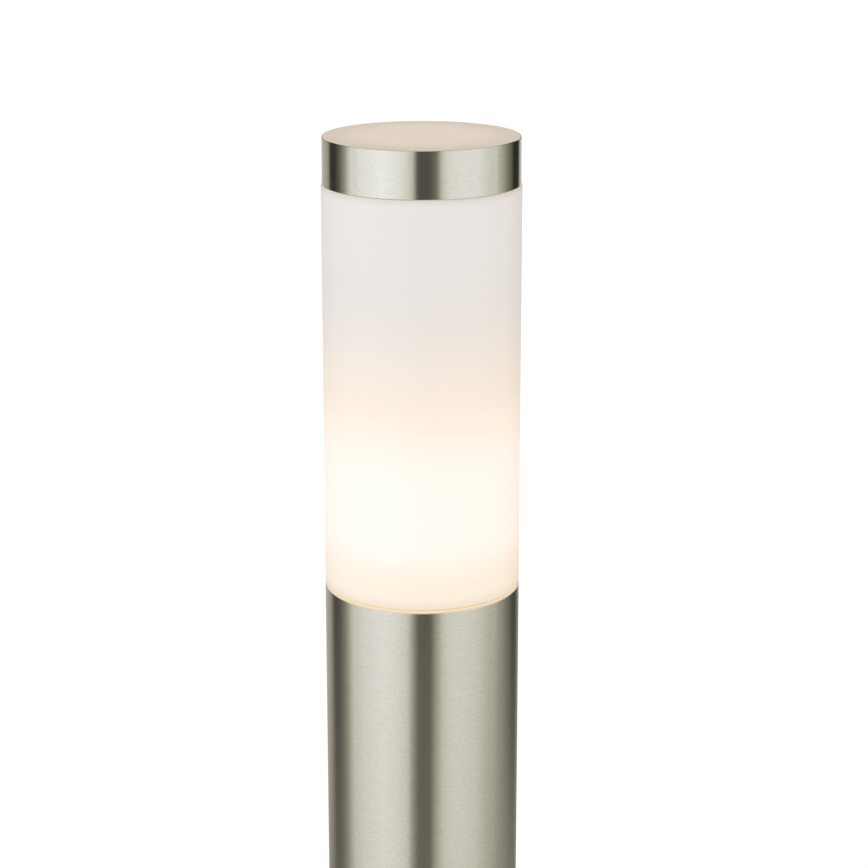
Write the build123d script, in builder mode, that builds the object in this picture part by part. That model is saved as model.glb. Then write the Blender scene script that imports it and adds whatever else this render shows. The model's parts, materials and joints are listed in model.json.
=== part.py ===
from build123d import *

import os
from math import asin, cos, radians, sin

# Bollard light, in millimetres. Z = 0 is the ground, Z is the post's axis and -Y is the front.
# From the ground up: a bolted base, a steel post, a lampholder and terminal block inside the post's
# mouth, a lamp, and a head (opal diffuser and steel cap) that lifts straight off to change the lamp.

# ---------------------------------------------------------------- driving dimensions
total_height = 800.0
cap_height = 18.0
diffuser_height = 157.0  # the stretch between the post's rim gap and the cap
rim_gap = 1.0

post_radius = 38.0
post_wall = 1.2
diffuser_radius = 37.9
cap_radius = 37.4
cap_flare = 0.1  # the skirt's lower edge is this much wider than its top
cap_wall = 0.8

flange_radius = 62.5
flange_thickness = 3.0
gasket_thickness = 2.0
ground_hole_radius = 4.5
ground_circle_radius = 50.0
ground_hole_angles = (30, 150, 270)
post_screw_angles = (90, 210, 330)
post_screw_height = 30.0

lamp_length = 110.0
lamp_radius = 30.0
lamp_tip_below_rim = 34.0
thread_pitch = 3.63  # E27: seven turns to the inch

wire_radius = 1.2
fit = 0.05  # radial clearance of a screw in its thread

# ---------------------------------------------------------------- levels and radii that follow
flange_bottom = gasket_thickness
flange_top = flange_bottom + flange_thickness
cap_bottom = total_height - cap_height
diffuser_bottom = cap_bottom - diffuser_height
post_top = diffuser_bottom - rim_gap
post_bore = post_radius - post_wall

spigot_radius = post_bore - 0.3  # the diffuser's lower neck, which drops into the post
spigot_bore = 33.6
spigot_length = 22.0
spigot_bottom = post_top - spigot_length
o_ring_height = post_top - 11.0
o_ring_section = 0.85
o_ring_groove_floor = 34.9
o_ring_groove_width = 2.4

neck_radius = 36.3  # the diffuser's upper neck, which the cap covers
diffuser_wall = 2.4
diffuser_bore = diffuser_radius - diffuser_wall
cap_foam = 4.0
neck_top = total_height - cap_wall - cap_foam

lamp_tip = post_top - lamp_tip_below_rim
lamp_top = lamp_tip + lamp_length
lamp_globe_centre = lamp_top - lamp_radius
lamp_thread_radius = 13.1
holder_thread_radius = 14.4

holder_bottom = lamp_tip - 17.0
holder_floor = lamp_tip - 4.0
holder_top = post_top - 6.0
sheet = 1.5  # steel strip of the bracket and the bridge
bracket_top = holder_bottom
tray_top = bracket_top - 32.0  # the tray's floor, which the bracket and terminal block stand on
tray_floor = 2.5
bridge_top = tray_top - tray_floor
strip_half_width = 12.0
leg_outer = 23.5
bracket_screw_x = 28.0
holder_screw_x = 17.0
terminal_y = 17.0  # the lampholder's two terminals lie this far to the front and back

block_pitch = 9.0
block_poles = (-block_pitch, 0.0, block_pitch)
block_half_length = 14.0
block_half_depth = 8.0
block_base = 8.0
block_tower = 12.0
block_wire_height = tray_top + 5.0
block_screw_y = 4.0
earth_height = tray_top + 17.0
tray_grommet_y = -24.0


# ---------------------------------------------------------------- shared forms
def ring(inner, outer, bottom, top):
    """Adds a plain ring about the Z axis."""
    with BuildSketch(Plane.XY.offset(bottom)) as section:
        Circle(outer)
        Circle(inner, mode=Mode.SUBTRACT)
    extrude(section.sketch, amount=top - bottom)


def radial_plane(angle, radius, height):
    """A plane that faces outward from the Z axis, with its own X pointing up."""
    out = (cos(radians(angle)), sin(radians(angle)))
    return Plane(origin=(radius * out[0], radius * out[1], height), x_dir=(0, 0, 1), z_dir=(*out, 0))


def on_dome(edge_radius, edge_height, tip_height):
    """The middle point of the round crown that rises from a turned edge to a tip on the axis."""
    rise = tip_height - edge_height
    ball = (edge_radius**2 + rise**2) / (2 * rise)
    half = asin(edge_radius / ball) / 2
    return (ball * sin(half), tip_height - ball * (1 - cos(half)))


def turned(plane, points, domed=False):
    """Adds a turned shape about the plane's normal. Points are (radius, height), the first on the axis."""
    upright = Plane(origin=plane.origin, x_dir=plane.x_dir, z_dir=plane.x_dir.cross(plane.z_dir))
    with BuildSketch(upright) as section:
        with BuildLine():
            Polyline(*points, close=not domed)
            if domed:
                ThreePointArc(points[-1], on_dome(*points[-1], points[0][1]), points[0])
        make_face()
    revolve(section.sketch, axis=Axis(plane.origin, plane.z_dir))


def domed_screw(plane, radius, length, head_radius, head_height):
    """Adds a screw whose low domed head sits on the plane and whose shank runs back behind it."""
    head_edge = (head_radius, 0.35 * head_height)
    shank = [(0, head_height), (0, -length), (radius, -length), (radius, 0)]
    turned(plane, [*shank, (head_radius, 0), head_edge], domed=True)


def cross_recess(plane, head_radius, head_height):
    """Cuts a cross recess into a screw head."""
    with BuildSketch(plane.offset(head_height)) as section:
        Rectangle(1.1 * head_radius, 0.24 * head_radius)
        Rectangle(0.24 * head_radius, 1.1 * head_radius)
    extrude(section.sketch, amount=-0.6 * head_height, mode=Mode.SUBTRACT)


def nut(plane, across_flats, bore, thickness):
    """Adds a hexagon nut standing on the plane."""
    with BuildSketch(plane) as section:
        RegularPolygon(radius=across_flats / 2, side_count=6, major_radius=False)
        Circle(bore, mode=Mode.SUBTRACT)
    extrude(section.sketch, amount=thickness)


def thread_profile(radius, depth, bottom, turns):
    """Draws a rounded lamp thread as alternate crest and root arcs, upward from bottom, in the open line."""
    half = thread_pitch / 2
    middle = radius - depth / 2
    for i in range(2 * turns):
        swing = depth / 2 if i % 2 == 0 else -depth / 2
        low = bottom + i * half
        ThreePointArc((middle, low), (middle + swing, low + half / 2), (middle, low + half))


# ---------------------------------------------------------------- base
with BuildPart() as base_gasket:
    with BuildSketch():
        Circle(flange_radius - 1)
        Circle(23, mode=Mode.SUBTRACT)
        for angle in ground_hole_angles:
            with PolarLocations(ground_circle_radius, 1, start_angle=angle):
                Circle(ground_hole_radius, mode=Mode.SUBTRACT)
    extrude(amount=gasket_thickness)

entry_hole_radius = 20.0
with BuildPart() as base_flange:
    with BuildSketch(Plane.XY.offset(flange_bottom)):
        Circle(flange_radius)
    extrude(amount=flange_thickness)
    fillet(base_flange.edges().group_by(Axis.Z)[-1], 1.2)
    with BuildSketch(Plane.XY.offset(flange_bottom)):
        Circle(entry_hole_radius)
        for angle in ground_hole_angles:
            with PolarLocations(ground_circle_radius, 1, start_angle=angle):
                Circle(ground_hole_radius)
    extrude(amount=flange_thickness, mode=Mode.SUBTRACT)

# A rubber bush lines the flange's centre hole, where the supply cable comes up out of the ground.
entry_bore, entry_lip = 16.0, 22.5
with BuildPart() as cable_entry_grommet:
    with BuildSketch(Plane.XZ) as section:
        with BuildLine():
            Polyline(
                (entry_bore, 0.2),
                (entry_lip, 0.2),
                (entry_lip, flange_bottom),
                (entry_hole_radius, flange_bottom),
                (entry_hole_radius, flange_top),
                (entry_lip, flange_top),
                (entry_lip, flange_top + 2),
                (entry_bore, flange_top + 2),
                close=True,
            )
        make_face()
        fillet(section.vertices().group_by(Axis.Y)[-1], 0.7)
    revolve(axis=Axis.Z)

# The post slides over this short tube, which is welded to the flange, and three screws hold it.
base_spigot_radius = post_bore - 0.2
base_spigot_bore = 33.6
base_spigot_top = 75.0
with BuildPart() as base_spigot:
    ring(base_spigot_bore, base_spigot_radius, flange_top, base_spigot_top)
    chamfer(base_spigot.edges().group_by(Axis.Z)[-1].sort_by(SortBy.RADIUS)[-1], 1.2)
    for angle in post_screw_angles:
        with BuildSketch(radial_plane(angle, base_spigot_radius + 1, post_screw_height)):
            Circle(2.6)
        extrude(amount=-6, mode=Mode.SUBTRACT)

nut_face = 33.2  # the nut's corners meet the tube's curved wall here
with BuildPart() as post_nuts:
    for angle in post_screw_angles:
        nut(radial_plane(angle, nut_face - 4, post_screw_height), across_flats=8, bore=2.5, thickness=4)

button_radius, button_height = 4.75, 2.75
with BuildPart() as post_screws:
    for angle in post_screw_angles:
        seat = radial_plane(angle, post_radius, post_screw_height)
        domed_screw(seat, 2.5 - fit, 10, button_radius, button_height)
        with BuildSketch(seat.offset(button_height)):
            RegularPolygon(radius=1.5, side_count=6, major_radius=False)
        extrude(amount=-1.6, mode=Mode.SUBTRACT)

# ---------------------------------------------------------------- post
with BuildPart() as post:
    ring(post_bore, post_radius, flange_top, post_top)
    fillet(post.edges().group_by(Axis.Z)[-1], 0.3)
    for angle in post_screw_angles:
        with BuildSketch(radial_plane(angle, post_radius + 1, post_screw_height)):
            Circle(2.75)
        extrude(amount=-4, mode=Mode.SUBTRACT)

# ---------------------------------------------------------------- bridge, tray and bracket
# The bridge is a strip across the post with both ends turned down and spot-welded to the wall.
bridge_reach = post_bore - 0.02
bridge_tab = 18.0
with BuildPart() as lampholder_bridge:
    with BuildSketch(Plane.XY.offset(bridge_top - sheet)):
        Circle(bridge_reach)
        Rectangle(2 * post_radius, 2 * strip_half_width, mode=Mode.INTERSECT)
        with Locations((bracket_screw_x, 0), (-bracket_screw_x, 0)):
            Circle(2 + fit, mode=Mode.SUBTRACT)
    extrude(amount=sheet)
    with BuildSketch(Plane.XY.offset(bridge_top - bridge_tab)):
        Circle(bridge_reach)
        Circle(bridge_reach - sheet, mode=Mode.SUBTRACT)
        Rectangle(2 * post_radius, 2 * strip_half_width, mode=Mode.INTERSECT)
    extrude(amount=bridge_tab - sheet / 2)
    outer_bends = lampholder_bridge.faces().sort_by(Axis.Z)[-1].edges().filter_by(GeomType.CIRCLE)
    fillet(outer_bends.sort_by(SortBy.RADIUS)[-2:], 1.0)

# The tray is a moulded dish that carries the terminal block and keeps the wiring off the steel.
tray_radius, tray_rim, tray_rim_height = 35.5, 2.0, 13.5
grommet_hole = 6.0
with BuildPart() as gear_tray:
    with BuildSketch(Plane.XY.offset(bridge_top)):
        Circle(tray_radius)
    extrude(amount=tray_rim_height)
    with BuildSketch(Plane.XY.offset(tray_top)):
        Circle(tray_radius - tray_rim)
    extrude(amount=tray_rim_height, mode=Mode.SUBTRACT)
    fillet(gear_tray.edges().group_by(Axis.Z)[-1], 0.6)
    with BuildSketch(Plane.XY.offset(bridge_top)):
        with Locations((bracket_screw_x, 0), (-bracket_screw_x, 0)):
            Circle(2.2)
        with Locations((0, tray_grommet_y)):
            Circle(grommet_hole)
        with Locations((block_pitch / 2, 0), (-block_pitch / 2, 0)):
            Circle(1.2 + fit)
    extrude(amount=tray_floor, mode=Mode.SUBTRACT)

# A rubber grommet with a thin membrane, which the supply cable is pushed through.
with BuildPart() as tray_grommet:
    turned(
        Plane(origin=(0, tray_grommet_y, bridge_top)),
        [
            (0, 0.6),
            (3.6, 0.6),
            (4.4, -2.0),
            (8.0, -2.0),
            (8.0, 0),
            (grommet_hole - fit, 0),
            (grommet_hole - fit, tray_floor),
            (8.0, tray_floor),
            (8.0, tray_floor + 2.0),
            (4.4, tray_floor + 2.0),
            (3.6, 1.6),
            (0, 1.6),
        ],
    )

# The bracket stands over the terminal block and carries the lampholder.
foot_reach = 32.5
with BuildPart() as lampholder_bracket:
    with BuildSketch(Plane.XZ) as profile:
        with Locations((0, bracket_top - sheet / 2)):
            Rectangle(2 * leg_outer, sheet)
        for side in (-1, 1):
            with Locations((side * (leg_outer - sheet / 2), (bracket_top + tray_top) / 2)):
                Rectangle(sheet, bracket_top - tray_top)
            with Locations((side * (leg_outer - sheet + foot_reach) / 2, tray_top + sheet / 2)):
                Rectangle(foot_reach - leg_outer + sheet, sheet)
        outer_corners = profile.vertices().group_by(Axis.Y)[-1] + profile.vertices().filter_by_position(
            Axis.Y, tray_top - 0.1, tray_top + 0.1
        ).sort_by(Axis.X)[1:3]
        fillet(outer_corners, sheet + 0.8)
    extrude(amount=strip_half_width, both=True)
    with BuildSketch(Plane.XY.offset(tray_top)):
        for side in (-1, 1):
            with Locations((side * (leg_outer + foot_reach) / 2 + side * 1, 9.5)):
                Rectangle(foot_reach - leg_outer, 5)
            with Locations((side * (leg_outer + foot_reach) / 2 + side * 1, -9.5)):
                Rectangle(foot_reach - leg_outer, 5)
            with Locations((side * bracket_screw_x, 0)):
                Circle(2.2)
    extrude(amount=sheet, mode=Mode.SUBTRACT)
    with BuildSketch(Plane.XY.offset(bracket_top)):
        with Locations((holder_screw_x, 0), (-holder_screw_x, 0)):
            Circle(2.2)
    extrude(amount=-sheet, mode=Mode.SUBTRACT)
    with BuildSketch(Plane.YZ.offset(leg_outer)):
        with Locations((0, earth_height)):
            Circle(2.2)
    extrude(amount=-sheet, mode=Mode.SUBTRACT)

pan_radius, pan_height = 3.6, 2.6
with BuildPart() as bracket_screws:
    for side in (-1, 1):
        seat = Plane(origin=(side * bracket_screw_x, 0, tray_top + sheet))
        domed_screw(seat, 2, 8, pan_radius, pan_height)
        cross_recess(seat, pan_radius, pan_height)

# ---------------------------------------------------------------- terminal block
insert_half_length, insert_radius, insert_bore = 6.5, 2.6, 1.6
with BuildPart() as terminal_block:
    with BuildSketch(Plane.XY.offset(tray_top)):
        RectangleRounded(2 * block_half_length, 2 * block_half_depth, 1.5)
    extrude(amount=block_base)
    with BuildSketch(Plane.XY.offset(tray_top + block_base)):
        with GridLocations(block_pitch, 2 * block_screw_y, 3, 2):
            Circle(3.6)
    extrude(amount=block_tower - block_base)
    with BuildSketch(Plane.XY.offset(tray_top + block_tower)):
        with GridLocations(block_pitch, 2 * block_screw_y, 3, 2):
            Circle(1.9)
    extrude(amount=block_wire_height - tray_top - block_tower, mode=Mode.SUBTRACT)
    with BuildSketch(Plane.XZ.offset(-insert_half_length)):
        with Locations(*[(x, block_wire_height) for x in block_poles]):
            Circle(insert_radius)
    extrude(amount=2 * insert_half_length, mode=Mode.SUBTRACT)
    with BuildSketch(Plane.XZ.offset(-block_half_depth)):
        with Locations(*[(x, block_wire_height) for x in block_poles]):
            Circle(insert_bore)
    extrude(amount=2 * block_half_depth, mode=Mode.SUBTRACT)
    with BuildSketch(Plane.XY.offset(tray_top + block_base)):
        with Locations((block_pitch / 2, 0), (-block_pitch / 2, 0)):
            Circle(1.25)
    extrude(amount=-block_base, mode=Mode.SUBTRACT)

with BuildPart() as terminal_inserts:
    with BuildSketch(Plane.XZ.offset(-insert_half_length)):
        with Locations(*[(x, block_wire_height) for x in block_poles]):
            Circle(insert_radius - 0.02)
            Circle(insert_bore, mode=Mode.SUBTRACT)
    extrude(amount=2 * insert_half_length)
    with BuildSketch(Plane.XY.offset(block_wire_height)):
        with GridLocations(block_pitch, 2 * block_screw_y, 3, 2):
            Circle(1.25 + fit)
    extrude(amount=insert_radius + 1, mode=Mode.SUBTRACT)

clamp_screw_top = tray_top + block_tower - 1.0
clamp_screw_tip = block_wire_height + wire_radius + 0.05
with BuildPart() as terminal_screws:
    with BuildSketch(Plane.XY.offset(clamp_screw_tip)):
        with GridLocations(block_pitch, 2 * block_screw_y, 3, 2):
            Circle(1.25)
    extrude(amount=clamp_screw_top - clamp_screw_tip)
    with BuildSketch(Plane.XY.offset(clamp_screw_top - 1.4)):
        with GridLocations(block_pitch, 2 * block_screw_y, 3, 2):
            Circle(1.75)
    extrude(amount=1.4)
    with BuildSketch(Plane.XY.offset(clamp_screw_top)):
        with GridLocations(block_pitch, 2 * block_screw_y, 3, 2):
            Rectangle(4, 0.6, rotation=30)
    extrude(amount=-0.8, mode=Mode.SUBTRACT)

with BuildPart() as terminal_block_screws:
    for side in (-1, 1):
        seat = Plane(origin=(side * block_pitch / 2, 0, tray_top + block_base))
        turned(seat, [(0, 0.9), (0, -10.2), (1.2, -10.2), (1.2, 0), (1.6, 0), (1.6, 0.9)])

# ---------------------------------------------------------------- earthing
# A screw through the bracket's leg bonds the earth wire to the steel. It lies along X.
earth_seat = Plane(origin=(leg_outer, 0, earth_height), x_dir=(0, 1, 0), z_dir=(1, 0, 0))
washer_thickness, lug_thickness = 0.8, 0.8
with BuildPart() as earth_washer:
    with BuildSketch(earth_seat):
        Circle(4.0)
        Circle(2.15, mode=Mode.SUBTRACT)
        with PolarLocations(4.0, 12):
            Rectangle(0.7, 0.7, mode=Mode.SUBTRACT)
    extrude(amount=washer_thickness)

lug_barrel = 2.0
lug_barrel_start = 6.0
lug_barrel_length = 7.0
lug_barrel_x = leg_outer + washer_thickness + lug_barrel
with BuildPart() as earth_lug:
    with BuildSketch(earth_seat.offset(washer_thickness)):
        Circle(4.2)
        with Locations((4, 0)):
            Rectangle(5.5, 3.6)
        Circle(2.15, mode=Mode.SUBTRACT)
    extrude(amount=lug_thickness)
    with BuildSketch(Plane(origin=(lug_barrel_x, lug_barrel_start, earth_height), z_dir=(0, 1, 0))):
        Circle(lug_barrel)
    extrude(amount=lug_barrel_length)
    with BuildSketch(Plane(origin=(lug_barrel_x, lug_barrel_start, earth_height), z_dir=(0, 1, 0))):
        Circle(wire_radius + fit)
    extrude(amount=lug_barrel_length, mode=Mode.SUBTRACT)

with BuildPart() as earth_screw:
    seat = earth_seat.offset(washer_thickness + lug_thickness)
    domed_screw(seat, 2, 8, pan_radius, pan_height)
    cross_recess(seat, pan_radius, pan_height)

with BuildPart() as earth_nut:
    nut(earth_seat.offset(-sheet - 3.2), across_flats=7, bore=2 + fit, thickness=3.2)

# ---------------------------------------------------------------- wiring
# Each lead starts in its pole of the terminal block, with bends as large as the space allows.
wire_depth = 3.0  # how far a lead reaches past its screw into the pole
lead_turn = 5.0


def lead(points, radii):
    """Adds an insulated lead along straight runs joined by tangent arcs."""
    with BuildLine() as route:
        FilletPolyline(*points, radius=radii)
    with BuildSketch(Plane(origin=route.line @ 0, z_dir=route.line % 0)) as section:
        Circle(wire_radius)
    sweep(section.sketch, path=route.line)


holder_wire_x = 4.0
wire_top = holder_bottom + 5.0
rise_start = block_wire_height + 4.0
with BuildPart() as live_wire:
    lead(
        [
            (-block_pitch, wire_depth, block_wire_height),
            (-block_pitch, terminal_y, block_wire_height),
            (-holder_wire_x, terminal_y, rise_start + 12),
            (-holder_wire_x, terminal_y, wire_top),
        ],
        [lead_turn, lead_turn * 2],
    )
with BuildPart() as neutral_wire:
    lead(
        [
            (block_pitch, -wire_depth, block_wire_height),
            (block_pitch, -terminal_y, block_wire_height),
            (holder_wire_x, -terminal_y, rise_start + 12),
            (holder_wire_x, -terminal_y, wire_top),
        ],
        [lead_turn, lead_turn * 2],
    )
with BuildPart() as earth_wire:
    lead(
        [
            (0, wire_depth, block_wire_height),
            (0, 16, block_wire_height),
            (16, 22, block_wire_height + 6),
            (lug_barrel_x, 20, earth_height),
            (lug_barrel_x, lug_barrel_start + 1, earth_height),
        ],
        [4.0, 6.0, 4.0],
    )

# ---------------------------------------------------------------- lampholder
holder_base_radius = 24.0
holder_radius = 20.5
holder_bore = 15.1
pocket_width, pocket_height = 11.0, 11.0
pocket_back = 11.5  # depth from the axis to the pocket's inner wall
pocket_floor = holder_bottom + 1.5
with BuildPart() as lampholder_body:
    with BuildSketch(Plane.XZ) as section:
        with BuildLine():
            Polyline(
                (0, holder_bottom),
                (holder_base_radius, holder_bottom),
                (holder_base_radius, holder_bottom + 13),
                (holder_radius, holder_bottom + 17),
                (holder_radius, holder_top),
                (holder_bore, holder_top),
                (holder_bore, holder_floor),
                (0, holder_floor),
                close=True,
            )
        make_face()
        fillet(section.vertices().group_by(Axis.Y)[-1], 1.2)
    revolve(axis=Axis.Z)
    for side in (-1, 1):
        with BuildSketch(Plane.XY.offset(pocket_floor)):
            with Locations((side * -holder_wire_x, side * (pocket_back + holder_base_radius) / 2)):
                Rectangle(pocket_width, holder_base_radius - pocket_back)
        extrude(amount=pocket_height, mode=Mode.SUBTRACT)
        with BuildSketch(Plane.XY.offset(holder_bottom)):
            with Locations((side * -holder_wire_x, side * terminal_y)):
                Circle(1.7)
            with Locations((side * holder_screw_x, 0)):
                Circle(2 + fit)
        extrude(amount=8, mode=Mode.SUBTRACT)

with BuildPart() as lampholder_screws:
    for side in (-1, 1):
        seat = Plane(origin=(side * holder_screw_x, 0, bracket_top - sheet), z_dir=(0, 0, -1))
        domed_screw(seat, 2, 9, pan_radius, pan_height)
        cross_recess(seat, pan_radius, pan_height)

holder_shell_bottom = holder_floor + 3.0
holder_shell_turns = 7
shell_radius = holder_bore - 0.1
with BuildPart() as lampholder_shell:
    with BuildSketch(Plane.XZ):
        with BuildLine():
            thread_profile(holder_thread_radius, 0.9, holder_shell_bottom, holder_shell_turns)
            low, high = holder_shell_bottom, holder_shell_bottom + holder_shell_turns * thread_pitch
            middle = holder_thread_radius - 0.45
            Polyline((middle, low), (middle, holder_floor), (shell_radius, holder_floor), (shell_radius, high))
            Line((shell_radius, high), (middle, high))
        make_face()
    revolve(axis=Axis.Z)

# A sprung leaf that presses on the lamp's tip.
leaf, leaf_half_width = 0.6, 3.0
leaf_top = lamp_tip - 0.15
with BuildPart() as lampholder_contact:
    with BuildSketch(Plane.XZ):
        with BuildLine():
            Polyline(
                (9, holder_floor),
                (9, holder_floor + leaf),
                (5.5, holder_floor + leaf),
                (2.5, leaf_top),
                (-4, leaf_top),
                (-4, leaf_top - leaf),
                (2.2, leaf_top - leaf),
                (5.2, holder_floor),
                close=True,
            )
        make_face()
    extrude(amount=leaf_half_width, both=True)

# Each terminal is a brass clamp in a side pocket, with a screw that bears on the wire end.
clamp_width, clamp_height = 8.0, 7.5
clamp_face = terminal_y + 2.5
clamp_screw_height = pocket_floor + 5.5
with BuildPart() as lampholder_terminals:
    for side in (-1, 1):
        with BuildSketch(Plane.XY.offset(pocket_floor)):
            with Locations((side * -holder_wire_x, side * (clamp_face + pocket_back) / 2)):
                Rectangle(clamp_width, clamp_face - pocket_back)
            with Locations((side * -holder_wire_x, side * terminal_y)):
                Circle(wire_radius + 0.1, mode=Mode.SUBTRACT)
        extrude(amount=clamp_height)
        with BuildSketch(Plane.XZ.offset(-side * clamp_face)):
            with Locations((side * -holder_wire_x, clamp_screw_height)):
                Circle(1.5 + fit)
        extrude(amount=side * (clamp_face - terminal_y), mode=Mode.SUBTRACT)

with BuildPart() as lampholder_terminal_screws:
    for side in (-1, 1):
        seat = Plane(
            origin=(side * -holder_wire_x, side * clamp_face, clamp_screw_height),
            x_dir=(0, 0, 1),
            z_dir=(0, side, 0),
        )
        domed_screw(seat, 1.5, 1.2, 2.6, 1.7)
        with BuildSketch(seat.offset(1.7)):
            Rectangle(0.6, 5)
        extrude(amount=-0.8, mode=Mode.SUBTRACT)

# ---------------------------------------------------------------- lamp
lamp_cap_bottom = lamp_tip + 6.0
lamp_thread_turns = 5
lamp_thread_top = lamp_cap_bottom + 1.2 + lamp_thread_turns * thread_pitch
lamp_cap_top = lamp_tip + 27.0
lamp_cap_bore = 11.7

with BuildPart() as lamp_contact:
    facing_down = Plane(origin=(0, 0, lamp_tip + 0.8), z_dir=(0, 0, -1))
    turned(facing_down, [(0, 0.8), (0, -1.4), (4.5, -1.4), (4.5, 0)], domed=True)

with BuildPart() as lamp_insulator:
    turned(
        Plane(origin=(0, 0, lamp_tip + 2.2)),
        [(0, 0), (0, 3.8), (lamp_cap_bore - 0.02, 3.8), (lamp_cap_bore - 0.02, 3.0), (6.5, 0)],
    )

with BuildPart() as lamp_screw_shell:
    with BuildSketch(Plane.XZ):
        with BuildLine():
            thread_low = lamp_cap_bottom + 1.2
            middle = lamp_thread_radius - 0.5
            thread_profile(lamp_thread_radius, 1.0, thread_low, lamp_thread_turns)
            Polyline((middle, thread_low), (lamp_cap_bore, lamp_cap_bottom), (lamp_cap_bore, lamp_cap_top))
            Polyline((lamp_cap_bore, lamp_cap_top), (13.0, lamp_cap_top), (13.0, lamp_thread_top + 0.4))
            Line((13.0, lamp_thread_top + 0.4), (middle, lamp_thread_top))
        make_face()
    revolve(axis=Axis.Z)

# The lamp's moulded body flares from the screw cap out to the globe.
housing_rim_height = lamp_globe_centre - 14.0
housing_rim_radius = 27.6
housing_wall = 2.4
board_radius = housing_rim_radius - housing_wall - 0.2
board_bottom = housing_rim_height - 3.0
with BuildPart() as lamp_housing:
    with BuildSketch(Plane.XZ):
        with BuildLine():
            outer = ThreePointArc(
                (14.0, lamp_cap_top + 6), (19.6, lamp_cap_top + 22), (housing_rim_radius, housing_rim_height)
            )
            Polyline(
                outer @ 1,
                (housing_rim_radius - housing_wall, housing_rim_height),
                (housing_rim_radius - housing_wall, board_bottom),
                (board_radius - 2, board_bottom),
                (17.6, lamp_cap_top + 22),
                (12.6, lamp_cap_top + 7),
                (12.6, lamp_cap_top),
                (14.0, lamp_cap_top),
                outer @ 0,
            )
        make_face()
    revolve(axis=Axis.Z)

with BuildPart() as lamp_led_board:
    with BuildSketch(Plane.XY.offset(board_bottom)):
        Circle(board_radius)
        with GridLocations(8, 1, 2, 1):
            Circle(1.2, mode=Mode.SUBTRACT)
    extrude(amount=1.6)

with BuildPart() as lamp_leds:
    with BuildSketch(Plane.XY.offset(board_bottom + 1.6)):
        with PolarLocations(16.5, 12):
            Rectangle(2.8, 3.5)
    extrude(amount=0.8)

globe_wall = 1.2
with BuildPart() as lamp_globe:
    with BuildSketch(Plane.XZ):
        with BuildLine():
            rim = housing_rim_height - lamp_globe_centre
            outer_rim = (lamp_radius**2 - rim**2) ** 0.5
            inner_radius = lamp_radius - globe_wall
            inner_rim = (inner_radius**2 - rim**2) ** 0.5
            dome_outer = ThreePointArc(
                (outer_rim, housing_rim_height),
                (lamp_radius * cos(radians(30)), lamp_globe_centre + lamp_radius * sin(radians(30))),
                (0, lamp_top),
            )
            dome_inner = ThreePointArc(
                (inner_rim, housing_rim_height),
                (inner_radius * cos(radians(30)), lamp_globe_centre + inner_radius * sin(radians(30))),
                (0, lamp_top - globe_wall),
            )
            Line(dome_outer @ 0, dome_inner @ 0)
            Line(dome_outer @ 1, dome_inner @ 1)
        make_face()
    revolve(axis=Axis.Z)

# ---------------------------------------------------------------- head
# One moulded tube: a spigot that drops into the post, the visible wall, and a closed neck under the cap.
neck_bore = neck_radius - diffuser_wall
stud_radius = 2.0
with BuildPart() as diffuser:
    with BuildSketch(Plane.XZ) as section:
        with BuildLine():
            Polyline(
                (spigot_bore, spigot_bottom),
                (spigot_radius, spigot_bottom),
                (spigot_radius, o_ring_height - o_ring_groove_width / 2),
                (o_ring_groove_floor, o_ring_height - o_ring_groove_width / 2),
                (o_ring_groove_floor, o_ring_height + o_ring_groove_width / 2),
                (spigot_radius, o_ring_height + o_ring_groove_width / 2),
                (spigot_radius, diffuser_bottom),
                (diffuser_radius, diffuser_bottom),
                (diffuser_radius, cap_bottom),
                (neck_radius, cap_bottom),
                (neck_radius, neck_top),
                (stud_radius + 0.3, neck_top),
                (stud_radius + 0.3, neck_top - diffuser_wall),
                (neck_bore, neck_top - diffuser_wall),
                (neck_bore, cap_bottom - 4),
                (diffuser_bore, cap_bottom - 9),
                (diffuser_bore, diffuser_bottom + 6),
                (spigot_bore, diffuser_bottom),
                close=True,
            )
        make_face()
        shoulders = section.vertices().filter_by_position(Axis.X, diffuser_radius - 0.01, diffuser_radius + 0.01)
        fillet(shoulders, 0.6)
    revolve(axis=Axis.Z)

with BuildPart() as top_cap:
    with BuildSketch(Plane.XZ) as section:
        with BuildLine():
            Polyline(
                (0, total_height),
                (cap_radius, total_height),
                (cap_radius + cap_flare, cap_bottom),
                (cap_radius + cap_flare - cap_wall, cap_bottom),
                (cap_radius - cap_wall, total_height - cap_wall),
                (0, total_height - cap_wall),
                close=True,
            )
        make_face()
        fillet(section.vertices().group_by(Axis.Y)[-1].sort_by(Axis.X)[-1], 0.5)
    revolve(axis=Axis.Z)

stud_tip = neck_top - diffuser_wall - 8.0
stud_base = 3.2
with BuildPart() as cap_stud:
    with BuildSketch(Plane.XY.offset(stud_tip)):
        Circle(stud_radius)
    extrude(amount=total_height - cap_wall - stud_tip)
    with BuildSketch(Plane.XY.offset(total_height - cap_wall - 0.8)):
        Circle(stud_base)
    extrude(amount=0.8)

with BuildPart() as cap_gasket:
    ring(stud_base + 1.8, 33.0, neck_top, total_height - cap_wall)

washer_radius = 7.0
washer_bottom = neck_top - diffuser_wall - 1.2
with BuildPart() as cap_washer:
    ring(stud_radius + 0.15, washer_radius, washer_bottom, neck_top - diffuser_wall)

with BuildPart() as cap_nut:
    nut(Plane.XY.offset(washer_bottom - 3.2), across_flats=7, bore=stud_radius + fit, thickness=3.2)

# ---------------------------------------------------------------- seals that lift with the head
o_ring_middle = (o_ring_groove_floor + post_bore) / 2
with BuildPart() as spigot_o_ring:
    with BuildSketch(Plane.XZ):
        with Locations((o_ring_middle, o_ring_height)):
            Circle(o_ring_section)
    revolve(axis=Axis.Z)

with BuildPart() as rim_gasket:
    ring(spigot_radius + 0.1, diffuser_radius - 0.35, post_top, diffuser_bottom - fit)

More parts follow.
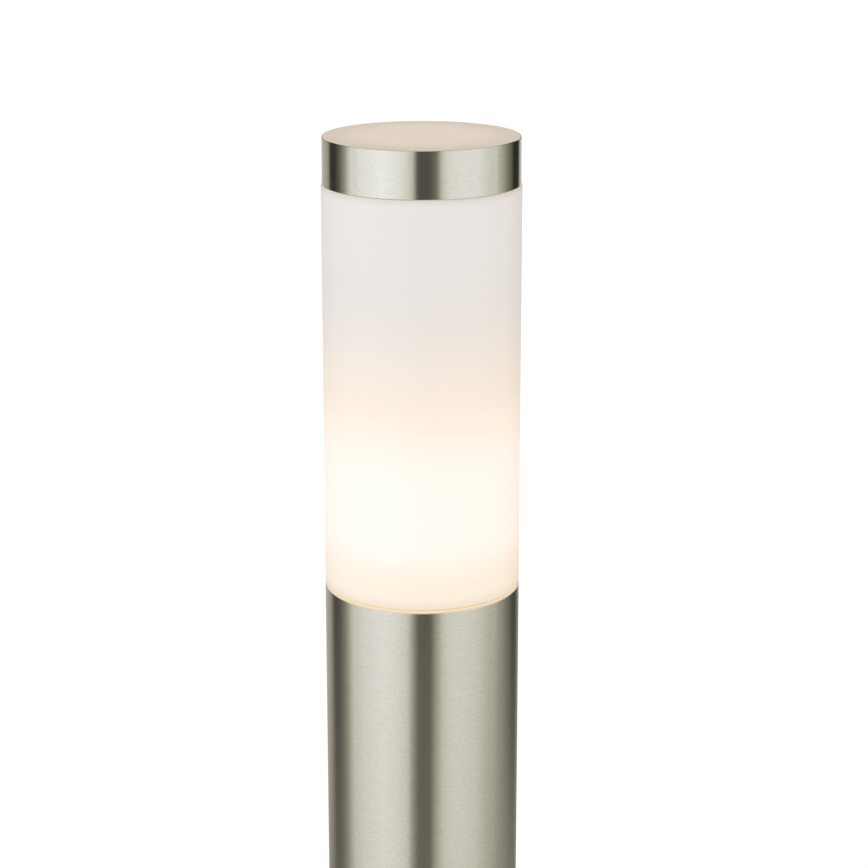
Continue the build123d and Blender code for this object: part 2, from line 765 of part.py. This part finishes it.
# ---------------------------------------------------------------- export
pieces = {
    "base_gasket": base_gasket,
    "base_flange": base_flange,
    "cable_entry_grommet": cable_entry_grommet,
    "base_spigot": base_spigot,
    "post_nuts": post_nuts,
    "post_screws": post_screws,
    "post": post,
    "lampholder_bridge": lampholder_bridge,
    "gear_tray": gear_tray,
    "tray_grommet": tray_grommet,
    "lampholder_bracket": lampholder_bracket,
    "bracket_screws": bracket_screws,
    "terminal_block": terminal_block,
    "terminal_inserts": terminal_inserts,
    "terminal_screws": terminal_screws,
    "terminal_block_screws": terminal_block_screws,
    "earth_washer": earth_washer,
    "earth_lug": earth_lug,
    "earth_screw": earth_screw,
    "earth_nut": earth_nut,
    "live_wire": live_wire,
    "neutral_wire": neutral_wire,
    "earth_wire": earth_wire,
    "lampholder_body": lampholder_body,
    "lampholder_screws": lampholder_screws,
    "lampholder_shell": lampholder_shell,
    "lampholder_contact": lampholder_contact,
    "lampholder_terminals": lampholder_terminals,
    "lampholder_terminal_screws": lampholder_terminal_screws,
    "lamp_contact": lamp_contact,
    "lamp_insulator": lamp_insulator,
    "lamp_screw_shell": lamp_screw_shell,
    "lamp_housing": lamp_housing,
    "lamp_led_board": lamp_led_board,
    "lamp_leds": lamp_leds,
    "lamp_globe": lamp_globe,
    "diffuser": diffuser,
    "top_cap": top_cap,
    "cap_stud": cap_stud,
    "cap_gasket": cap_gasket,
    "cap_washer": cap_washer,
    "cap_nut": cap_nut,
    "spigot_o_ring": spigot_o_ring,
    "rim_gasket": rim_gasket,
}
os.makedirs("parts", exist_ok=True)
for name, piece in pieces.items():
    piece.part.label = name
    export_step(piece.part, f"parts/{name}.step")
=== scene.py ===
"""Looks of the bollard light: a studio, a finely turned cap, and a material for every piece."""

import json
from math import cos, pi, radians, sin

import bmesh
import bpy
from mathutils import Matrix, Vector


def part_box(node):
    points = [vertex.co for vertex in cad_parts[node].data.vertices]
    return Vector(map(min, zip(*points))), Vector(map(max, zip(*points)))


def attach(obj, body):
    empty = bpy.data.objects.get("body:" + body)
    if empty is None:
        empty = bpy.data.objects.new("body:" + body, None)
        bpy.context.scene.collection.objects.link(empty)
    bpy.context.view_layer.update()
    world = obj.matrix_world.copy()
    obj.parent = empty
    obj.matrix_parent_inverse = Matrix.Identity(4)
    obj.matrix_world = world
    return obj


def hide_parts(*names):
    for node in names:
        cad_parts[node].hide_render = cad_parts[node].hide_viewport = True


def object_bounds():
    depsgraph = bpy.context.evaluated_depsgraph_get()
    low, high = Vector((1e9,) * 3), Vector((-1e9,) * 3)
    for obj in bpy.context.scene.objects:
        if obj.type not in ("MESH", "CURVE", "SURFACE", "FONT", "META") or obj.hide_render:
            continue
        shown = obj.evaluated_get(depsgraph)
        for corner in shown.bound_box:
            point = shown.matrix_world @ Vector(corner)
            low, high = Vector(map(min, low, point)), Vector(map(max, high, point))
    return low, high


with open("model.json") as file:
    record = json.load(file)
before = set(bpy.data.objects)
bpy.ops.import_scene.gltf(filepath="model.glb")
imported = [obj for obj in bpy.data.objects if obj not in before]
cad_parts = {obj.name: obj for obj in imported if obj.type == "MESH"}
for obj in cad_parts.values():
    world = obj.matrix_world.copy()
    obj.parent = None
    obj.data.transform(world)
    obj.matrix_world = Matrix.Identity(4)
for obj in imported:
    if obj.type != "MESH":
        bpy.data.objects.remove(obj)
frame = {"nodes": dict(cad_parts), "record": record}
cad_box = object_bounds()
scene = bpy.context.scene
TOP = cad_box[1].z

# ---------------------------------------------------------------- camera
# The view looks down on the head from in front, a little to the right of the post's axis.
CAMERA_DISTANCE = 0.888
CAMERA_RISE = 0.1331  # above the cap
CAMERA_PITCH = 15.67
CAMERA_SWING = 0.30
LENS = 98.9

camera_data = bpy.data.cameras.new("camera")
camera_data.sensor_width = 36.0
camera_data.lens = LENS
camera = bpy.data.objects.new("camera", camera_data)
camera.location = (0, -CAMERA_DISTANCE, TOP + CAMERA_RISE)
camera.rotation_euler = (radians(90 - CAMERA_PITCH), 0, radians(-CAMERA_SWING))
scene.collection.objects.link(camera)
scene.camera = camera
scene.view_settings.view_transform = "Standard"


# ---------------------------------------------------------------- node helpers
def plug(tree, socket, value):
    """Links a socket to another node's output, or sets its number."""
    if isinstance(value, bpy.types.NodeSocket):
        tree.links.new(value, socket)
    else:
        socket.default_value = value


def node(tree, kind, inputs=None, **settings):
    """Adds one node and fills in its settings and inputs."""
    made = tree.nodes.new(kind)
    for key, value in settings.items():
        setattr(made, key, value)
    for key, value in (inputs or {}).items():
        plug(tree, made.inputs[key], value)
    return made


def calc(tree, operation, *values):
    """The result of one Math node."""
    return node(tree, "ShaderNodeMath", dict(enumerate(values)), operation=operation).outputs[0]


def ramp(tree, value, start, end, low=0.0, high=1.0):
    """A soft step of value, from low at start to high at end."""
    inputs = {"Value": value, "From Min": start, "From Max": end, "To Min": low, "To Max": high}
    return node(tree, "ShaderNodeMapRange", inputs, interpolation_type="SMOOTHSTEP").outputs[0]


def blend(tree, factor, a, b):
    """A colour between a and b."""
    made = node(tree, "ShaderNodeMix", data_type="RGBA")
    plug(tree, made.inputs[0], factor)
    plug(tree, made.inputs[6], a)
    plug(tree, made.inputs[7], b)
    return made.outputs[2]


def add_colours(tree, a, b):
    """The sum of two colours."""
    made = node(tree, "ShaderNodeMix", {0: 1.0}, data_type="RGBA", blend_type="ADD")
    plug(tree, made.inputs[6], a)
    plug(tree, made.inputs[7], b)
    return made.outputs[2]


def stretched_noise(tree, per_metre, detail=2.0):
    """Noise in the piece's own coordinates, with so many waves per metre along x, y and z."""
    place = node(tree, "ShaderNodeTexCoord").outputs["Object"]
    spread = node(tree, "ShaderNodeMapping", {"Vector": place, "Scale": per_metre})
    inputs = {"Vector": spread.outputs[0], "Scale": 1.0, "Detail": detail, "Roughness": 0.6}
    return node(tree, "ShaderNodeTexNoise", inputs).outputs[0]


def material(name, **constants):
    """A new Principled material, with constants set straight on the shader's sockets."""
    made = bpy.data.materials.new(name)
    made.use_nodes = True
    shader = made.node_tree.nodes["Principled BSDF"]
    for key, value in constants.items():
        shader.inputs[key.replace("_", " ")].default_value = value
    return made, made.node_tree, shader


def rgb(red, green, blue):
    """A linear colour with full alpha."""
    return (red, green, blue, 1.0)


# ---------------------------------------------------------------- studio
# The steel mirrors a ring of lit panels and dark flags round the object. Each stop is an angle in degrees
# about the post's axis, 0 towards the front and positive to the right, and the brightness there. The levels,
# and how they change with height, were adjusted to suit the main view.
LIGHT_RING = (
    # back left panel, then a dark flag
    (-180, 0.62),
    (-150, 0.42),
    (-135, 0.30),
    (-131, 0.03),
    (-120, 0.02),
    # left panel, which fades in from the side and ends sharply beside the camera
    (-110, 0.09),
    (-99, 0.31),
    (-90, 0.74),
    (-86, 0.80),
    (-82, 0.76),
    (-77, 0.86),
    (-47, 1.00),
    (-26, 0.91),
    (-10, 0.69),
    # the dark gap that the camera looks through
    (-5, 0.045),
    (18, 0.045),
    # right panel, a little dimmer
    (23, 0.56),
    (30, 0.77),
    (44, 0.87),
    (68, 0.88),
    (88, 0.69),
    (96, 0.71),
    (99, 0.54),
    (106, 0.43),
    (118, 0.20),
    (128, 0.10),
    # a dark flag, then the back right panel
    (131, 0.02),
    (150, 0.02),
    (156, 0.50),
    (180, 0.62),
)
PANEL_POWER = 1.14
CEILING = rgb(0.96, 0.83, 0.755)
LEFT_LIGHT = rgb(1.18, 1.2, 1.215)
RIGHT_LIGHT = rgb(1.02, 0.97, 0.895)


def ring_level(tree, angle):
    """Brightness of the ring of panels at an angle."""
    place = calc(tree, "MULTIPLY_ADD", angle, 1 / 360, 0.5)
    made = node(tree, "ShaderNodeValToRGB", {"Fac": place})
    stops = made.color_ramp.elements
    for angle_of_stop, level in LIGHT_RING[1:-1]:
        stops.new(angle_of_stop / 360 + 0.5).color = rgb(level, level, level)
    for stop, (_, level) in ((stops[0], LIGHT_RING[0]), (stops[-1], LIGHT_RING[-1])):
        stop.color = rgb(level, level, level)
    return calc(tree, "MULTIPLY", made.outputs["Color"], PANEL_POWER)


def ring_colour(tree, level):
    """The dim parts of the ring are more yellow than the bright ones."""
    green = calc(tree, "MULTIPLY", level, calc(tree, "MULTIPLY_ADD", level, 0.06, 0.94))
    square = calc(tree, "MULTIPLY", level, level)
    blue = calc(tree, "MULTIPLY", level, calc(tree, "MULTIPLY_ADD", square, 0.23, 0.79))
    return node(tree, "ShaderNodeCombineColor", {0: level, 1: green, 2: blue}).outputs[0]


def dimmed_ring(tree, angle, up):
    """The ring at a height. Towards the floor it dims, most at the right and behind, the dark gap moves to
    the left, and the right dark flag turns hazy."""
    below = ramp(tree, up, -0.2, -0.38)
    off_front = calc(tree, "ABSOLUTE", angle)
    beside_gap = ramp(tree, off_front, 60, 15, 0.0, 8.0)
    level = ring_level(tree, calc(tree, "MULTIPLY_ADD", below, beside_gap, angle))
    lost = calc(tree, "MULTIPLY", below, ramp(tree, angle, 30, 115, 0.0, 0.52))
    level = calc(tree, "MULTIPLY", level, calc(tree, "SUBTRACT", 1.0, lost))
    level = calc(tree, "MULTIPLY", level, ramp(tree, up, -0.55, -0.15, 0.48, 1.0))
    far_below = ramp(tree, up, -0.34, -0.52)
    faded = calc(tree, "MULTIPLY", far_below, ramp(tree, off_front, 130, 140, 0.0, 0.9))
    level = calc(tree, "MULTIPLY", level, calc(tree, "SUBTRACT", 1.0, faded))
    haze = calc(tree, "MULTIPLY", far_below, ramp(tree, angle, 100, 130, 0.0, 0.2))
    return calc(tree, "ADD", level, haze)


def mirrored_light(tree, axes):
    """What gloss mirrors: the ring, a dark horizon behind, a glow from below and a beige ceiling."""
    up = axes["Z"]
    forward = calc(tree, "MULTIPLY", axes["Y"], -1.0)
    angle = calc(tree, "DEGREES", calc(tree, "ARCTAN2", axes["X"], forward))
    behind = ramp(tree, calc(tree, "ABSOLUTE", angle), 140, 152)
    near_horizon = ramp(tree, calc(tree, "ABSOLUTE", up), 0.1, 0.06)
    lit = calc(tree, "SUBTRACT", 1.0, calc(tree, "MULTIPLY", behind, near_horizon))
    level = calc(tree, "MULTIPLY", dimmed_ring(tree, angle, up), lit)
    level = calc(tree, "ADD", level, ramp(tree, up, -0.2, -0.6, 0.0, 0.2))
    overhead = calc(tree, "MULTIPLY", behind, ramp(tree, up, 0.07, 0.11))
    overhead = calc(tree, "MAXIMUM", overhead, ramp(tree, up, 0.35, 0.65))
    return blend(tree, overhead, ring_colour(tree, level), CEILING)


def build_world():
    """Plain light for everything, the ring for reflections, and a white backdrop for the camera."""
    world = bpy.data.worlds.new("studio")
    scene.world = world
    world.use_nodes = True
    tree = world.node_tree
    direction = node(tree, "ShaderNodeTexCoord").outputs["Generated"]
    axes = node(tree, "ShaderNodeSeparateXYZ", {0: direction}).outputs
    ray = node(tree, "ShaderNodeLightPath").outputs
    plain = blend(tree, calc(tree, "MULTIPLY_ADD", axes["X"], 0.5, 0.5), LEFT_LIGHT, RIGHT_LIGHT)
    seen = blend(tree, ray["Is Glossy Ray"], plain, mirrored_light(tree, axes))
    backdrop = blend(tree, ray["Is Camera Ray"], seen, rgb(1.0, 1.0, 1.0))
    plug(tree, tree.nodes["Background"].inputs["Color"], backdrop)


FLOOR_RADIUS = 14.0
FLOOR_GAP = 0.0002  # keeps the floor just clear of the base's underside


def build_floor():
    """A large pale floor. Mirrored rays pass through it, so steel mirrors the studio's lower half too."""
    mesh = bpy.data.meshes.new("floor")
    shape = bmesh.new()
    bmesh.ops.create_circle(shape, cap_ends=True, radius=FLOOR_RADIUS, segments=96)
    shape.to_mesh(mesh)
    shape.free()
    floor = bpy.data.objects.new("floor", mesh)
    floor.location.z = cad_box[0].z - FLOOR_GAP
    floor.visible_glossy = False
    scene.collection.objects.link(floor)
    finish, tree, shader = material("floor_paper", Roughness=0.95, Specular_IOR_Level=0.1)
    fibre = stretched_noise(tree, (60, 60, 60), detail=6)
    tone = blend(tree, fibre, rgb(0.955, 0.955, 0.97), rgb(0.985, 0.985, 0.995))
    plug(tree, shader.inputs["Base Color"], tone)
    mesh.materials.append(finish)


build_world()
build_floor()


# ---------------------------------------------------------------- metals
def add_bump(tree, shader, height, strength, distance):
    """Raises the surface by a height pattern; distance is in metres."""
    inputs = {"Height": height, "Strength": strength, "Distance": distance}
    plug(tree, shader.inputs["Normal"], node(tree, "ShaderNodeBump", inputs).outputs[0])


# Waves per metre along x, y and z of the brushed steel's two sorts of line, and of its smudges.
SHORT_SCRATCHES = (600, 600, 3700)
LONG_RINGS = (110, 110, 3500)
SMUDGES = (14, 14, 9)


def ring_brushed(name, dark, light, roughness):
    """Steel brushed round the Z axis: fine rings, with the gloss drawn out up and down."""
    finish, tree, shader = material(name, Metallic=1.0, Anisotropic=0.98, Anisotropic_Rotation=0.25)
    scratches = stretched_noise(tree, SHORT_SCRATCHES, detail=2)
    rings = stretched_noise(tree, LONG_RINGS, detail=1)
    grain = calc(tree, "MULTIPLY_ADD", scratches, 0.7, calc(tree, "MULTIPLY", rings, 0.3))
    smudge = ramp(tree, stretched_noise(tree, SMUDGES, detail=4), 0.35, 0.75)
    plug(tree, shader.inputs["Base Color"], blend(tree, ramp(tree, grain, 0.25, 0.75), dark, light))
    wear = calc(tree, "MULTIPLY_ADD", smudge, 0.03, roughness)
    plug(tree, shader.inputs["Roughness"], calc(tree, "MULTIPLY_ADD", grain, 0.04, wear))
    tangent = node(tree, "ShaderNodeTangent", direction_type="RADIAL", axis="Z").outputs[0]
    plug(tree, shader.inputs["Tangent"], tangent)
    add_bump(tree, shader, grain, 0.3, 0.000005)
    return finish


def satin_metal(name, dark, light, roughness, grain=900, dullness=0.12, relief=0.00004):
    """Plated, machined or sheet metal with a fine even grain and duller patches."""
    finish, tree, shader = material(name, Metallic=1.0)
    fine = stretched_noise(tree, (grain, grain, grain), detail=4)
    patches = ramp(tree, stretched_noise(tree, (70, 70, 70), detail=4), 0.3, 0.7)
    plug(tree, shader.inputs["Base Color"], blend(tree, fine, dark, light))
    wear = calc(tree, "MULTIPLY_ADD", patches, dullness, roughness)
    plug(tree, shader.inputs["Roughness"], calc(tree, "MULTIPLY_ADD", fine, 0.08, wear))
    add_bump(tree, shader, fine, 0.3, relief)
    return finish


# ---------------------------------------------------------------- plastics, rubber and ceramic
def moulded(name, dark, light, roughness, grain=1500, relief=0.00003, **constants):
    """Moulded plastic, rubber or glaze: a fine skin, faint clouds of colour and duller patches."""
    finish, tree, shader = material(name, **constants)
    skin = stretched_noise(tree, (grain, grain, grain), detail=3)
    clouds = stretched_noise(tree, (45, 45, 45), detail=3)
    plug(tree, shader.inputs["Base Color"], blend(tree, clouds, dark, light))
    plug(tree, shader.inputs["Roughness"], calc(tree, "MULTIPLY_ADD", clouds, 0.15, roughness))
    add_bump(tree, shader, skin, 0.3, relief)
    return finish


def glowing(name, dark, light, roughness, glow, strength):
    """A moulded material that gives off an even light."""
    return moulded(name, dark, light, roughness, Emission_Color=glow, Emission_Strength=strength)


def lit_globe(name):
    """The lamp's opal globe: its upper half is lit evenly, and it is dimmer and warmer towards its neck."""
    finish, tree, shader = material(name, Emission_Strength=1.0, Specular_IOR_Level=0.4)
    place = node(tree, "ShaderNodeTexCoord").outputs["Object"]
    height = node(tree, "ShaderNodeSeparateXYZ", {0: place}).outputs["Z"]
    low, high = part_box("lamp_globe")
    rise = ramp(tree, height, low.z - 0.004, (low.z + high.z) / 2)
    glow = blend(tree, rise, rgb(0.05, 0.02, 0.0), rgb(0.46, 0.36, 0.2))
    plug(tree, shader.inputs["Emission Color"], glow)
    haze = stretched_noise(tree, (60, 60, 60), detail=3)
    tone = blend(tree, haze, rgb(0.5, 0.44, 0.36), rgb(0.54, 0.48, 0.4))
    plug(tree, shader.inputs["Base Color"], tone)
    plug(tree, shader.inputs["Roughness"], calc(tree, "MULTIPLY_ADD", haze, 0.1, 0.3))
    add_bump(tree, shader, stretched_noise(tree, (900, 900, 900), detail=3), 0.2, 0.00002)
    return finish


def striped_insulation(name, ground, stripe):
    """Cable insulation with a lengthwise stripe that winds slowly round it."""
    finish, tree, shader = material(name, Roughness=0.45)
    place = node(tree, "ShaderNodeTexCoord").outputs["Object"]
    axes = node(tree, "ShaderNodeSeparateXYZ", {0: place}).outputs
    winding = calc(tree, "MULTIPLY_ADD", axes["X"], 900.0, calc(tree, "MULTIPLY", axes["Z"], 700.0))
    edge = ramp(tree, calc(tree, "SINE", winding), 0.0, 0.15)
    plug(tree, shader.inputs["Base Color"], blend(tree, edge, ground, stripe))
    add_bump(tree, shader, stretched_noise(tree, (1800, 1800, 1800)), 0.3, 0.00002)
    return finish


def opal(name):
    """Opal acrylic with the lamp's light painted on as glow: brightest beside its globe, warm above it, dim
    at the foot.
    The painted glow belongs to the material, by height, so it goes with the diffuser when the head is
    lifted.
    Painted shade darkens its foot and its top just under the cap."""
    finish, tree, shader = material(name, Emission_Strength=1.0, Specular_IOR_Level=0.3)
    place = node(tree, "ShaderNodeTexCoord").outputs["Object"]
    height = node(tree, "ShaderNodeSeparateXYZ", {0: place}).outputs["Z"]
    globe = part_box("lamp_globe")
    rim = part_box("post")[1].z
    middle = (globe[0].z + globe[1].z) / 2
    # Painted glow: the diffuser is no lamp; this emission by height stands in for the lamp's light shining
    # through it. Near the foot it is dimmed as painted shade.
    swell = ramp(tree, height, middle + 0.074, middle + 0.002)
    swell = calc(tree, "MULTIPLY", swell, ramp(tree, height, rim + 0.001, rim + 0.007, 0.5, 1.0))
    heart = ramp(tree, height, middle + 0.031, middle - 0.008)
    heart = calc(tree, "MULTIPLY", heart, ramp(tree, height, rim + 0.007, rim + 0.028))
    warm = blend(tree, swell, rgb(0.0, 0.0, 0.0), rgb(0.19, 0.106, 0.0))
    white = blend(tree, heart, rgb(0.0, 0.0, 0.0), rgb(0.13, 0.1, 0.165))
    plug(tree, shader.inputs["Emission Color"], add_colours(tree, warm, white))
    haze = stretched_noise(tree, (30, 30, 30), detail=3)
    tone = blend(tree, haze, rgb(0.757, 0.734, 0.722), rgb(0.781, 0.758, 0.746))
    tone = blend(tree, ramp(tree, height, middle + 0.09, middle + 0.05), tone, rgb(0.768, 0.732, 0.712))
    # Painted shade: darker and yellower at the foot, where the post's rim shades it.
    tone = blend(tree, ramp(tree, height, rim + 0.005, rim + 0.001), tone, rgb(0.76, 0.68, 0.57))
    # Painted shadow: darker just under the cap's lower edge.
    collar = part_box("top_cap")[0].z
    tone = blend(tree, ramp(tree, height, collar - 0.003, collar), tone, rgb(0.7, 0.655, 0.6))
    plug(tree, shader.inputs["Base Color"], tone)
    plug(tree, shader.inputs["Roughness"], calc(tree, "MULTIPLY_ADD", haze, 0.1, 0.4))
    add_bump(tree, shader, stretched_noise(tree, (500, 500, 500), detail=3), 0.2, 0.00002)
    return finish


LIGHT_STEEL = rgb(0.83, 0.823, 0.745)
DARK_STEEL = rgb(0.725, 0.718, 0.643)
finishes = {
    "stainless": ring_brushed("stainless", DARK_STEEL, LIGHT_STEEL, 0.17),
    "stainless_plate": satin_metal("stainless_plate", rgb(0.5, 0.5, 0.46), rgb(0.68, 0.67, 0.62), 0.32),
    "zinc_plated_steel": satin_metal("zinc_plated_steel", rgb(0.5, 0.52, 0.52), rgb(0.68, 0.69, 0.66), 0.34),
    "stainless_fixings": satin_metal("stainless_fixings", rgb(0.6, 0.59, 0.55), rgb(0.75, 0.74, 0.7), 0.24),
    "opal_diffuser": opal("opal_diffuser"),
    # Painted glow: the silicone gasket is no lamp; its emission stands in for the lamp's light shining
    # through it.
    "clear_silicone": glowing(
        "clear_silicone", rgb(0.75, 0.62, 0.38), rgb(0.8, 0.68, 0.45), 0.4, rgb(0.9, 0.72, 0.62), 0.18
    ),
    "black_rubber": moulded(
        "black_rubber", rgb(0.012, 0.012, 0.012), rgb(0.03, 0.03, 0.03), 0.7, relief=0.00006
    ),
    "foam": moulded("foam", rgb(0.05, 0.05, 0.05), rgb(0.1, 0.1, 0.1), 0.85, grain=2500, relief=0.0002),
    "brass": satin_metal("brass", rgb(0.62, 0.44, 0.17), rgb(0.8, 0.6, 0.27), 0.22),
    "tinned_copper": satin_metal("tinned_copper", rgb(0.6, 0.59, 0.56), rgb(0.78, 0.76, 0.72), 0.26),
    "porcelain": moulded(
        "porcelain", rgb(0.78, 0.76, 0.7), rgb(0.86, 0.85, 0.8), 0.12, grain=300, Coat_Weight=0.4
    ),
    "grey_nylon": moulded("grey_nylon", rgb(0.11, 0.115, 0.12), rgb(0.15, 0.155, 0.16), 0.45),
    "natural_nylon": moulded("natural_nylon", rgb(0.68, 0.66, 0.56), rgb(0.76, 0.74, 0.65), 0.38),
    "lamp_plastic": moulded("lamp_plastic", rgb(0.8, 0.8, 0.77), rgb(0.86, 0.86, 0.84), 0.28),
    "lamp_opal": lit_globe("lamp_opal"),
    "lamp_glass": moulded("lamp_glass", rgb(0.012, 0.012, 0.016), rgb(0.02, 0.02, 0.025), 0.1),
    "lamp_nickel": satin_metal("lamp_nickel", rgb(0.62, 0.6, 0.56), rgb(0.76, 0.74, 0.69), 0.2),
    "white_board": moulded("white_board", rgb(0.78, 0.78, 0.76), rgb(0.84, 0.84, 0.82), 0.3),
    "phosphor": glowing("phosphor", rgb(0.8, 0.6, 0.15), rgb(0.9, 0.7, 0.2), 0.4, rgb(1.0, 0.82, 0.5), 4.0),
    "brown_pvc": moulded("brown_pvc", rgb(0.05, 0.02, 0.01), rgb(0.08, 0.03, 0.015), 0.4),
    "blue_pvc": moulded("blue_pvc", rgb(0.01, 0.05, 0.3), rgb(0.015, 0.07, 0.38), 0.4),
    "green_yellow_pvc": striped_insulation("green_yellow_pvc", rgb(0.02, 0.28, 0.04), rgb(0.85, 0.72, 0.03)),
}

for part in frame["record"]["subparts"]:
    mesh = frame["nodes"][part["node"]].data
    mesh.materials.clear()
    mesh.materials.append(finishes[part["material_slot"]])

# ---------------------------------------------------------------- turned pieces
SEGMENTS = 256
SHARP_ANGLE = 35.0


def rounded_edge(radius, height, size, steps=6):
    """Points of a rounded top edge, from the flat out to the side. Radius and height are those of the
    sharp corner."""
    points = []
    for i in range(steps + 1):
        angle = radians(90 - 90 * i / steps)
        points.append((radius - size + size * cos(angle), height - size + size * sin(angle)))
    return points


def turned(name, outline):
    """A piece turned about the Z axis from the (radius, height) points of half its section."""
    shape = bmesh.new()
    corners = [shape.verts.new((radius, 0, height)) for radius, height in outline]
    edges = [shape.edges.new(ends) for ends in zip(corners, corners[1:])]
    bmesh.ops.spin(shape, geom=corners + edges, axis=(0, 0, 1), cent=(0, 0, 0), angle=2 * pi, steps=SEGMENTS)
    bmesh.ops.remove_doubles(shape, verts=shape.verts, dist=1e-7)
    bmesh.ops.recalc_face_normals(shape, faces=shape.faces)
    mesh = bpy.data.meshes.new(name)
    shape.to_mesh(mesh)
    shape.free()
    mesh.shade_smooth()
    mesh.set_sharp_from_angle(angle=radians(SHARP_ANGLE))
    piece = bpy.data.objects.new(name, mesh)
    scene.collection.objects.link(piece)
    even = piece.modifiers.new("even_normals", "WEIGHTED_NORMAL")
    even.keep_sharp = True
    return piece


def satin_disc(name, rim):
    """Satin steel with a fine even grain, painted a little darker towards the rim: painted shade that leaves
    its centre brighter.
    """
    finish, tree, shader = material(name, Metallic=1.0)
    place = node(tree, "ShaderNodeTexCoord").outputs["Object"]
    axes = node(tree, "ShaderNodeSeparateXYZ", {0: place}).outputs
    flat = node(tree, "ShaderNodeCombineXYZ", {0: axes["X"], 1: axes["Y"]}).outputs[0]
    radius = node(tree, "ShaderNodeVectorMath", {0: flat}, operation="LENGTH").outputs["Value"]
    grain = stretched_noise(tree, (2500, 2500, 2500), detail=4)
    clouds = stretched_noise(tree, (60, 60, 60), detail=3)
    # Painted shade: the colour darkens towards the rim, leaving the centre brighter like a reflection there.
    painted_rim_shade = ramp(tree, calc(tree, "MULTIPLY_ADD", clouds, 0.004, radius), 0.55 * rim, 1.08 * rim)
    metal = blend(tree, grain, DARK_STEEL, LIGHT_STEEL)
    plug(tree, shader.inputs["Base Color"], blend(tree, painted_rim_shade, metal, rgb(0.66, 0.645, 0.585)))
    plug(tree, shader.inputs["Roughness"], calc(tree, "MULTIPLY_ADD", clouds, 0.06, 0.33))
    add_bump(tree, shader, grain, 0.3, 0.00003)
    return finish


# The cap is a drawn steel cup: ring-brushed round its skirt, polished round its edge with painted shade
# darkening it there, and satin on top with painted shade towards its rim.
CAP_WALL = 0.0008
CAP_EDGE = 0.0005
CAP_FLARE = 0.0001
CAP_BURR = 0.00015
# Painted shade: the edge's colours are darker than the steel's, standing in for the dark surroundings its
# rounding mirrors.
DARK_EDGE = rgb(0.58, 0.565, 0.51)
LIGHT_EDGE = rgb(0.64, 0.625, 0.565)
DISC_FINISH = 1  # the cap's material slots; slot 0 is the skirt's
EDGE_FINISH = 2


def build_cap():
    """The cap, with a small rounding round its top edge and a chamfer round its lower rim."""
    low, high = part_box("top_cap")
    skirt = high.x
    shoulder = skirt - CAP_FLARE
    outline = [
        (0, high.z),
        *rounded_edge(shoulder, high.z, CAP_EDGE),
        (skirt, low.z + CAP_BURR),
        (skirt - CAP_BURR, low.z),
        (skirt - CAP_WALL, low.z),
        (shoulder - CAP_WALL, high.z - CAP_WALL),
        (0, high.z - CAP_WALL),
    ]
    cap = turned("steel_cap", outline)
    cap.data.materials.append(finishes["stainless"])
    cap.data.materials.append(satin_disc("stainless_disc", shoulder))
    # Polished edge, low in roughness, with painted shade: its darker colours stand in for the dark
    # surroundings it mirrors.
    polished_edge_painted_shade = satin_metal("stainless_edge_painted_shade", DARK_EDGE, LIGHT_EDGE, 0.05, dullness=0.03, relief=0.000004)
    cap.data.materials.append(polished_edge_painted_shade)
    for face in cap.data.polygons:
        if face.normal.z > 0.99 and face.center.z > high.z - CAP_EDGE / 2:
            face.material_index = DISC_FINISH
        elif face.center.z > high.z - CAP_EDGE and face.normal.z > 0.0:
            face.material_index = EDGE_FINISH
    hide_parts("top_cap")
    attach(cap, "head")


build_cap()
